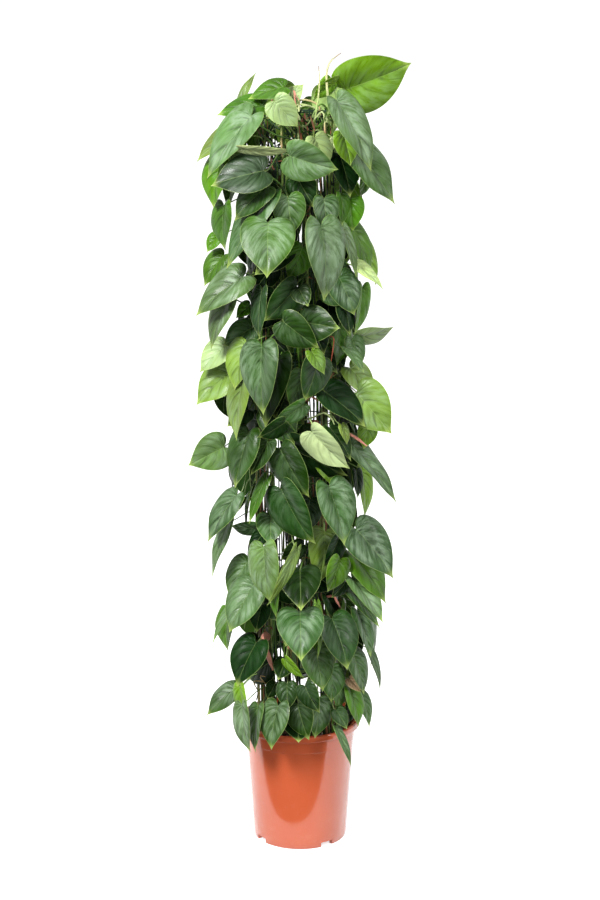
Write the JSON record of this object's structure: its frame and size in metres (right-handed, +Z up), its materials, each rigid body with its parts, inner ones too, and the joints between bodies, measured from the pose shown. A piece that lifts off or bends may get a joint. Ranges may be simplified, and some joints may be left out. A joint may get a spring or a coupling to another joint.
{
  "type": "potted heartleaf philodendron",
  "caption": "Tall column of heartleaf philodendron vines with heart-shaped leaves, climbing a hollow wire-mesh tube in a round terracotta-coloured plastic nursery pot.",
  "frame": {"origin": "on the ground under the pot's axis, which is within a few millimetres of the middle of the bounding box", "axes": "+Z up along the column, -Y towards the front that the picture shows, +X to the right as seen from the front"},
  "size_m": [0.4315, 0.4784, 1.5898],
  "materials": {
    "pot": "smooth, fairly glossy terracotta-coloured plastic",
    "soil": "matte, crumbly dark potting soil",
    "cage": "dark green plastic-coated wire",
    "foliage": "satin, waxy leaves with a soft grey sheen"
  },
  "bodies": {
    "root": {"pot": "pot", "soil": "soil", "climbing_cage": "cage", "vine_1": "foliage", "vine_2": "foliage", "vine_3": "foliage", "vine_4": "foliage", "vine_5": "foliage", "vine_6": "foliage", "vine_7": "foliage", "vine_8": "foliage", "vine_9": "foliage", "vine_10": "foliage", "vine_11": "foliage", "vine_12": "foliage", "vine_13": "foliage", "vine_14": "foliage"}
  },
  "joints": []
}
